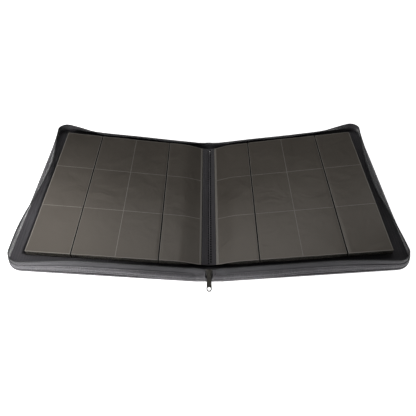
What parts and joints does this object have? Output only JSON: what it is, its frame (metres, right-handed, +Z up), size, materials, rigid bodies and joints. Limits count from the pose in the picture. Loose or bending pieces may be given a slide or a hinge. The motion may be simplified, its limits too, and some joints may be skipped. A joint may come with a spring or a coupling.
{
  "type": "trading card binder",
  "caption": "Zip-around card binder lying open on its spine, with a leaf stack of clear pockets on each cover, hinged covers, turning pages and a sliding zip with a swinging pull.",
  "frame": {"origin": "middle of the spine's underside", "axes": "+Z up from the spine, +Y along the spine to its far end, +X towards the back cover"},
  "size_m": [0.6308, 0.3524, 0.0638],
  "materials": {
    "textured_leatherette": "matte",
    "cover_board": "matte",
    "lining_cloth": "matte",
    "zip_tape": "matte",
    "zip_coil": "satin",
    "binding_cloth": "matte",
    "thread": "matte",
    "pocket_film": "gloss",
    "gunmetal": "satin"
  },
  "bodies": {
    "root": {"spine_skin": "textured_leatherette", "spine_board": "cover_board", "binding_strip": "binding_cloth", "binding_stitch": "thread", "zip_far_tab": "zip_tape"},
    "front_cover": {"front_cover_skin": "textured_leatherette", "front_cover_board": "cover_board", "front_cover_lining": "lining_cloth", "front_corner_gusset": "textured_leatherette", "front_corner_tape": "zip_tape", "front_corner_coil": "zip_coil"},
    "back_cover": {"back_cover_skin": "textured_leatherette", "back_cover_board": "cover_board", "back_cover_lining": "lining_cloth", "back_corner_gusset": "textured_leatherette", "back_corner_tape": "zip_tape", "back_corner_coil": "zip_coil"},
    "front_near_wall": {"front_near_gusset": "textured_leatherette", "front_near_tape": "zip_tape", "front_near_coil": "zip_coil"},
    "front_far_wall": {"front_far_gusset": "textured_leatherette", "front_far_tape": "zip_tape", "front_far_coil": "zip_coil"},
    "front_fore_wall": {"front_fore_gusset": "textured_leatherette", "front_fore_tape": "zip_tape", "front_fore_coil": "zip_coil"},
    "back_near_wall": {"back_near_gusset": "textured_leatherette", "back_near_tape": "zip_tape", "back_near_coil": "zip_coil"},
    "back_far_wall": {"back_far_gusset": "textured_leatherette", "back_far_tape": "zip_tape", "back_far_coil": "zip_coil"},
    "back_fore_wall": {"back_fore_gusset": "textured_leatherette", "back_fore_tape": "zip_tape", "back_fore_coil": "zip_coil"},
    "zip_foot": {"zip_foot_tab": "zip_tape"},
    "zip_slider": {"zip_slider": "gunmetal"},
    "zip_pull": {"zip_pull": "gunmetal"},
    "page_01": {"page_01": "pocket_film"},
    "page_02": {"page_02": "pocket_film"},
    "page_03": {"page_03": "pocket_film"},
    "page_04": {"page_04": "pocket_film"},
    "page_05": {"page_05": "pocket_film"},
    "page_06": {"page_06": "pocket_film"},
    "page_07": {"page_07": "pocket_film"},
    "page_08": {"page_08": "pocket_film"},
    "page_09": {"page_09": "pocket_film"},
    "page_10": {"page_10": "pocket_film"},
    "page_11": {"page_11": "pocket_film"},
    "page_12": {"page_12": "pocket_film"},
    "page_13": {"page_13": "pocket_film"},
    "page_14": {"page_14": "pocket_film"},
    "page_15": {"page_15": "pocket_film"},
    "page_16": {"page_16": "pocket_film"},
    "page_17": {"page_17": "pocket_film"},
    "page_18": {"page_18": "pocket_film"},
    "page_19": {"page_19": "pocket_film"},
    "page_20": {"page_20": "pocket_film"}
  },
  "joints": [
    {"name": "front_cover_hinge", "type": "hinge", "parent": "root", "child": "front_cover", "pos_m": [-0.022, 0, 0.002], "axis": [0, 1, 0], "range_deg": [-8, 82], "stiffness_Nm_per_rad": 0.2206, "springref_deg": 81.99},
    {"name": "back_cover_hinge", "type": "hinge", "parent": "root", "child": "back_cover", "pos_m": [0.022, 0, 0.002], "axis": [0, -1, 0], "range_deg": [-8, 82], "stiffness_Nm_per_rad": 0.2206, "springref_deg": 81.99},
    {"name": "page_01_follow", "type": "hinge", "parent": "root", "child": "page_01", "pos_m": [-0.00807, 0, 0.0086], "axis": [0, 1, 0], "range_deg": [-8, 82], "stiffness_Nm_per_rad": 0.5808, "springref_deg": 81.99},
    {"name": "page_turn", "type": "hinge", "parent": "page_01", "child": "page_10", "pos_m": [0, 0, 0.0151], "axis": [0, -1, 0], "range_deg": [-164, 0]},
    {"name": "page_02_turn", "type": "hinge", "parent": "page_01", "child": "page_02", "pos_m": [0, 0, 0.0151], "axis": [0, -1, 0], "range_deg": [-164, 0]},
    {"name": "page_03_turn", "type": "hinge", "parent": "page_01", "child": "page_03", "pos_m": [0, 0, 0.0151], "axis": [0, -1, 0], "range_deg": [-164, 0]},
    {"name": "page_04_turn", "type": "hinge", "parent": "page_01", "child": "page_04", "pos_m": [0, 0, 0.0151], "axis": [0, -1, 0], "range_deg": [-164, 0]},
    {"name": "page_05_turn", "type": "hinge", "parent": "page_01", "child": "page_05", "pos_m": [0, 0, 0.0151], "axis": [0, -1, 0], "range_deg": [-164, 0]},
    {"name": "page_06_turn", "type": "hinge", "parent": "page_01", "child": "page_06", "pos_m": [0, 0, 0.0151], "axis": [0, -1, 0], "range_deg": [-164, 0]},
    {"name": "page_07_turn", "type": "hinge", "parent": "page_01", "child": "page_07", "pos_m": [0, 0, 0.0151], "axis": [0, -1, 0], "range_deg": [-164, 0]},
    {"name": "page_08_turn", "type": "hinge", "parent": "page_01", "child": "page_08", "pos_m": [0, 0, 0.0151], "axis": [0, -1, 0], "range_deg": [-164, 0]},
    {"name": "page_09_turn", "type": "hinge", "parent": "page_01", "child": "page_09", "pos_m": [0, 0, 0.0151], "axis": [0, -1, 0], "range_deg": [-164, 0]},
    {"name": "page_11_follow", "type": "hinge", "parent": "root", "child": "page_11", "pos_m": [0.00807, 0, 0.0086], "axis": [0, -1, 0], "range_deg": [-8, 82], "stiffness_Nm_per_rad": 0.0582, "springref_deg": 81.99},
    {"name": "page_12_follow", "type": "hinge", "parent": "root", "child": "page_12", "pos_m": [0.00807, 0, 0.0086], "axis": [0, -1, 0], "range_deg": [-8, 82], "stiffness_Nm_per_rad": 0.0582, "springref_deg": 81.99},
    {"name": "page_13_follow", "type": "hinge", "parent": "root", "child": "page_13", "pos_m": [0.00807, 0, 0.0086], "axis": [0, -1, 0], "range_deg": [-8, 82], "stiffness_Nm_per_rad": 0.0582, "springref_deg": 81.99},
    {"name": "page_14_follow", "type": "hinge", "parent": "root", "child": "page_14", "pos_m": [0.00807, 0, 0.0086], "axis": [0, -1, 0], "range_deg": [-8, 82], "stiffness_Nm_per_rad": 0.0582, "springref_deg": 81.99},
    {"name": "page_15_follow", "type": "hinge", "parent": "root", "child": "page_15", "pos_m": [0.00807, 0, 0.0086], "axis": [0, -1, 0], "range_deg": [-8, 82], "stiffness_Nm_per_rad": 0.0582, "springref_deg": 81.99},
    {"name": "page_16_follow", "type": "hinge", "parent": "root", "child": "page_16", "pos_m": [0.00807, 0, 0.0086], "axis": [0, -1, 0], "range_deg": [-8, 82], "stiffness_Nm_per_rad": 0.0582, "springref_deg": 81.99},
    {"name": "page_17_follow", "type": "hinge", "parent": "root", "child": "page_17", "pos_m": [0.00807, 0, 0.0086], "axis": [0, -1, 0], "range_deg": [-8, 82], "stiffness_Nm_per_rad": 0.0582, "springref_deg": 81.99},
    {"name": "page_18_follow", "type": "hinge", "parent": "root", "child": "page_18", "pos_m": [0.00807, 0, 0.0086], "axis": [0, -1, 0], "range_deg": [-8, 82], "stiffness_Nm_per_rad": 0.0582, "springref_deg": 81.99},
    {"name": "page_19_follow", "type": "hinge", "parent": "root", "child": "page_19", "pos_m": [0.00807, 0, 0.0086], "axis": [0, -1, 0], "range_deg": [-8, 82], "stiffness_Nm_per_rad": 0.0582, "springref_deg": 81.99},
    {"name": "page_20_follow", "type": "hinge", "parent": "root", "child": "page_20", "pos_m": [0.00807, 0, 0.0086], "axis": [0, -1, 0], "range_deg": [-8, 82], "stiffness_Nm_per_rad": 0.0582, "springref_deg": 81.99},
    {"name": "zip_foot_lean", "type": "hinge", "parent": "root", "child": "zip_foot", "pos_m": [0, -0.1641, 0.0055], "axis": [1, 0, 0], "range_deg": [-6, 56]},
    {"name": "zip_slider_travel", "type": "slide", "parent": "zip_foot", "child": "zip_slider", "axis": [0, 0.8192, 0.5736], "range_m": [0, 0.012]},
    {"name": "zip_pull_swing", "type": "hinge", "parent": "zip_slider", "child": "zip_pull", "pos_m": [0, -0.15684, 0.01501], "axis": [-1, 0, 0], "range_deg": [0, 150]},
    {"name": "front_near_wall_lean", "type": "hinge", "parent": "front_cover", "child": "front_near_wall", "pos_m": [-0.0216, -0.1646, 0.00487], "axis": [0.9903, 0, -0.1392], "range_deg": [-8, 61]},
    {"name": "front_far_wall_lean", "type": "hinge", "parent": "front_cover", "child": "front_far_wall", "pos_m": [-0.0216, 0.1646, 0.00487], "axis": [-0.9903, 0, 0.1392], "range_deg": [-8, 61]},
    {"name": "front_fore_wall_lean", "type": "hinge", "parent": "front_cover", "child": "front_fore_wall", "pos_m": [-0.31234, 0, 0.04573], "axis": [0, -1, 0], "range_deg": [-8, 51]},
    {"name": "back_near_wall_lean", "type": "hinge", "parent": "back_cover", "child": "back_near_wall", "pos_m": [0.0216, -0.1646, 0.00487], "axis": [0.9903, 0, 0.1392], "range_deg": [-8, 61]},
    {"name": "back_far_wall_lean", "type": "hinge", "parent": "back_cover", "child": "back_far_wall", "pos_m": [0.0216, 0.1646, 0.00487], "axis": [-0.9903, 0, -0.1392], "range_deg": [-8, 61]},
    {"name": "back_fore_wall_lean", "type": "hinge", "parent": "back_cover", "child": "back_fore_wall", "pos_m": [0.31234, 0, 0.04573], "axis": [0, 1, 0], "range_deg": [-8, 51]}
  ],
  "couplings": [
    {"joint": "page_01_follow", "follows": "front_cover_hinge", "ratio": 1},
    {"joint": "page_02_turn", "follows": "page_turn", "ratio": 0.11111},
    {"joint": "page_03_turn", "follows": "page_turn", "ratio": 0.22222},
    {"joint": "page_04_turn", "follows": "page_turn", "ratio": 0.33333},
    {"joint": "page_05_turn", "follows": "page_turn", "ratio": 0.44444},
    {"joint": "page_06_turn", "follows": "page_turn", "ratio": 0.55556},
    {"joint": "page_07_turn", "follows": "page_turn", "ratio": 0.66667},
    {"joint": "page_08_turn", "follows": "page_turn", "ratio": 0.77778},
    {"joint": "page_09_turn", "follows": "page_turn", "ratio": 0.88889},
    {"joint": "page_11_follow", "follows": "back_cover_hinge", "ratio": 1},
    {"joint": "page_12_follow", "follows": "back_cover_hinge", "ratio": 1},
    {"joint": "page_13_follow", "follows": "back_cover_hinge", "ratio": 1},
    {"joint": "page_14_follow", "follows": "back_cover_hinge", "ratio": 1},
    {"joint": "page_15_follow", "follows": "back_cover_hinge", "ratio": 1},
    {"joint": "page_16_follow", "follows": "back_cover_hinge", "ratio": 1},
    {"joint": "page_17_follow", "follows": "back_cover_hinge", "ratio": 1},
    {"joint": "page_18_follow", "follows": "back_cover_hinge", "ratio": 1},
    {"joint": "page_19_follow", "follows": "back_cover_hinge", "ratio": 1},
    {"joint": "page_20_follow", "follows": "back_cover_hinge", "ratio": 1},
    {"joint": "zip_foot_lean", "follows": "front_cover_hinge", "ratio": 0.67073},
    {"joint": "front_near_wall_lean", "follows": "front_cover_hinge", "ratio": 0.73171},
    {"joint": "front_far_wall_lean", "follows": "front_cover_hinge", "ratio": 0.73171},
    {"joint": "front_fore_wall_lean", "follows": "front_cover_hinge", "ratio": 0.60976},
    {"joint": "back_near_wall_lean", "follows": "back_cover_hinge", "ratio": 0.73171},
    {"joint": "back_far_wall_lean", "follows": "back_cover_hinge", "ratio": 0.73171},
    {"joint": "back_fore_wall_lean", "follows": "back_cover_hinge", "ratio": 0.60976}
  ]
}
